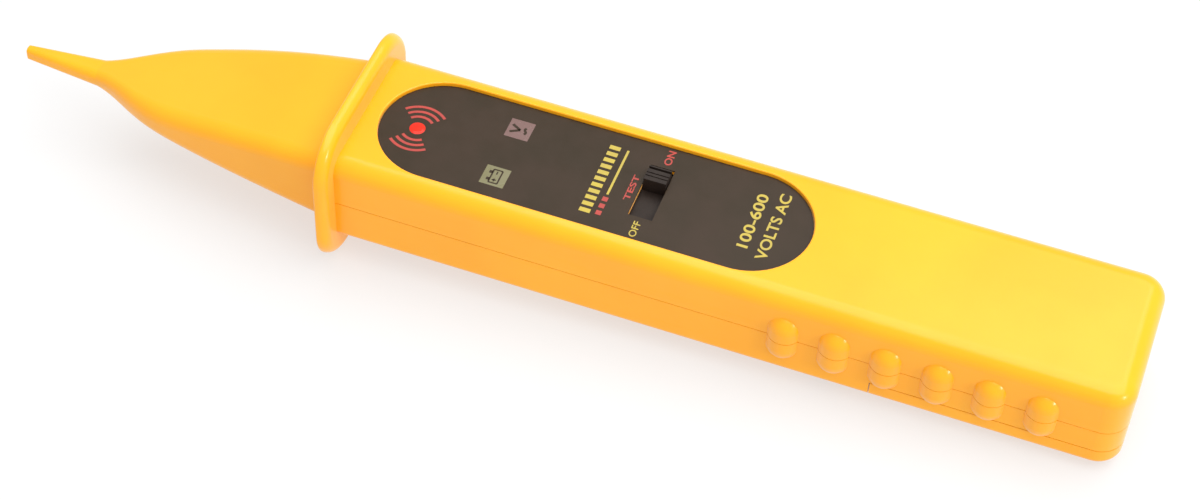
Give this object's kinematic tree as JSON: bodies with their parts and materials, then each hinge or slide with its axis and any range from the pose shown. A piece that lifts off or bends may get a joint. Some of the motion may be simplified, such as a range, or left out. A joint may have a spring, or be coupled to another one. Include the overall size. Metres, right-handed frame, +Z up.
{
  "type": "non contact voltage tester",
  "caption": "Pen-like tester with a tapered probe nose, finger guard, slim case with side grip studs, slide switch, indicator lamp and a sliding battery door.",
  "frame": {"origin": "middle of the case's flat underside", "axes": "+Z up out of the labelled top face, +X from the probe tip towards the tail, +Y to the side where the switch reads ON"},
  "size_m": [0.252, 0.0456, 0.036],
  "materials": {
    "casing_yellow": "moulded, smooth gloss",
    "label_dark": "printed film, soft gloss",
    "lens_red": "tinted clear, gloss",
    "window_rose": "tinted clear, gloss",
    "window_green": "tinted clear, gloss",
    "print_yellow": "screen printed ink",
    "print_red": "screen printed ink",
    "knob_black": "moulded, fine satin",
    "board_green": "solder mask over glass fibre",
    "part_black": "moulded, matt",
    "part_blue": "sleeved, gloss",
    "led_red": "cast, clear red",
    "led_pale": "cast, pale",
    "tinned_metal": "tinned",
    "brass": "drawn, bright",
    "screw_steel": "zinc plated",
    "battery_jacket": "printed jacket",
    "wire_red": "soft insulation",
    "wire_black": "soft insulation",
    "foam_grey": "open cell foam"
  },
  "bodies": {
    "casing": {"nose_cone": "casing_yellow", "upper_shell": "casing_yellow", "lower_shell": "casing_yellow", "label_panel": "label_dark", "indicator_lens": "lens_red", "voltage_window": "window_rose", "battery_window": "window_green", "switch_can": "tinned_metal", "switch_base": "part_black", "switch_pins": "tinned_metal", "circuit_board": "board_green", "sensing_rod": "brass", "rod_sleeve": "part_black", "sensor_lead": "wire_red", "indicator_led": "led_red", "led_leads": "tinned_metal", "window_leds": "led_pale", "amplifier_chip": "part_black", "chip_legs": "tinned_metal", "chip_resistors": "part_black", "capacitors": "part_blue", "transistors": "part_black", "sensitivity_trimmer": "part_blue", "buzzer_cup": "part_black", "buzzer_disc": "brass", "buzzer_pins": "tinned_metal", "case_screws": "screw_steel", "board_screws": "screw_steel", "battery": "battery_jacket", "battery_terminals": "tinned_metal", "snap_plate": "part_black", "snap_contacts": "tinned_metal", "battery_lead_red": "wire_red", "battery_lead_black": "wire_black", "foam_pad": "foam_grey"},
    "switch_slider": {"switch_knob": "knob_black", "switch_carriage": "part_black", "switch_wiper": "brass"},
    "door": {"battery_door": "casing_yellow"}
  },
  "joints": [
    {"name": "switch_slide", "type": "slide", "parent": "casing", "child": "switch_slider", "axis": [0, -1, 0], "range_m": [0, 0.008]},
    {"name": "door_slide", "type": "slide", "parent": "casing", "child": "door", "axis": [1, 0, 0], "range_m": [0, 0.056]}
  ]
}
